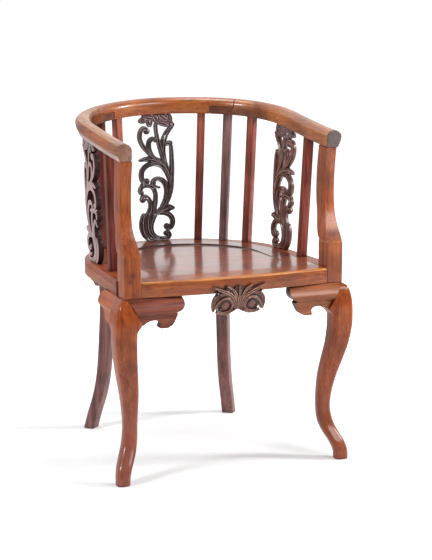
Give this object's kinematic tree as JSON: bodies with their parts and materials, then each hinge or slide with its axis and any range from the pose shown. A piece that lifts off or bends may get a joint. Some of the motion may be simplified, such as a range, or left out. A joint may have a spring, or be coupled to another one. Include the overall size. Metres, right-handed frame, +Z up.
{
  "type": "armchair",
  "caption": "Wooden tub armchair with a horseshoe rail on square spindles and pierced scroll splats, round-backed seat, cabriole front legs and sabre rear legs.",
  "frame": {"origin": "on the floor under the middle of the chair's footprint", "axes": "+Z up from the floor, +Y towards the back of the chair, +X to the right as seen from the front"},
  "size_m": [0.5734, 0.5478, 0.8075],
  "materials": {
    "honey": "gloss varnish",
    "chestnut": "gloss varnish",
    "russet": "gloss varnish",
    "umber": "satin varnish",
    "dark": "satin varnish"
  },
  "bodies": {
    "root": {"rail_crest": "honey", "rail_arm_left": "honey", "rail_arm_right": "honey", "seat_front_rail": "honey", "arm_post_left": "chestnut", "arm_post_right": "chestnut", "seat_rim_back": "chestnut", "seat_rim_left": "chestnut", "seat_rim_right": "chestnut", "front_leg_left": "chestnut", "front_leg_right": "chestnut", "front_bracket_left": "chestnut", "front_bracket_right": "chestnut", "side_bracket_left": "chestnut", "side_bracket_right": "chestnut", "spindle_back_left_1": "russet", "spindle_back_left_2": "russet", "spindle_back_left_3": "russet", "spindle_back_right_1": "russet", "spindle_back_right_2": "russet", "spindle_back_right_3": "russet", "spindle_side_left": "russet", "spindle_side_right": "russet", "seat_panel": "russet", "rear_leg_left": "umber", "rear_leg_right": "umber", "rear_ear_inner_left": "umber", "rear_ear_inner_right": "umber", "rear_ear_outer_left": "umber", "rear_ear_outer_right": "umber", "apron_carving": "umber", "apron_dowel_left": "umber", "apron_dowel_right": "umber", "seat_brace": "umber", "rim_tongue_left": "umber", "rim_tongue_right": "umber", "scarf_pin_left": "umber", "scarf_pin_right": "umber", "bracket_dowel_front_left": "umber", "bracket_dowel_front_right": "umber", "bracket_dowel_side_left": "umber", "bracket_dowel_side_right": "umber", "splat_back": "dark", "splat_left": "dark", "splat_right": "dark"}
  },
  "joints": []
}
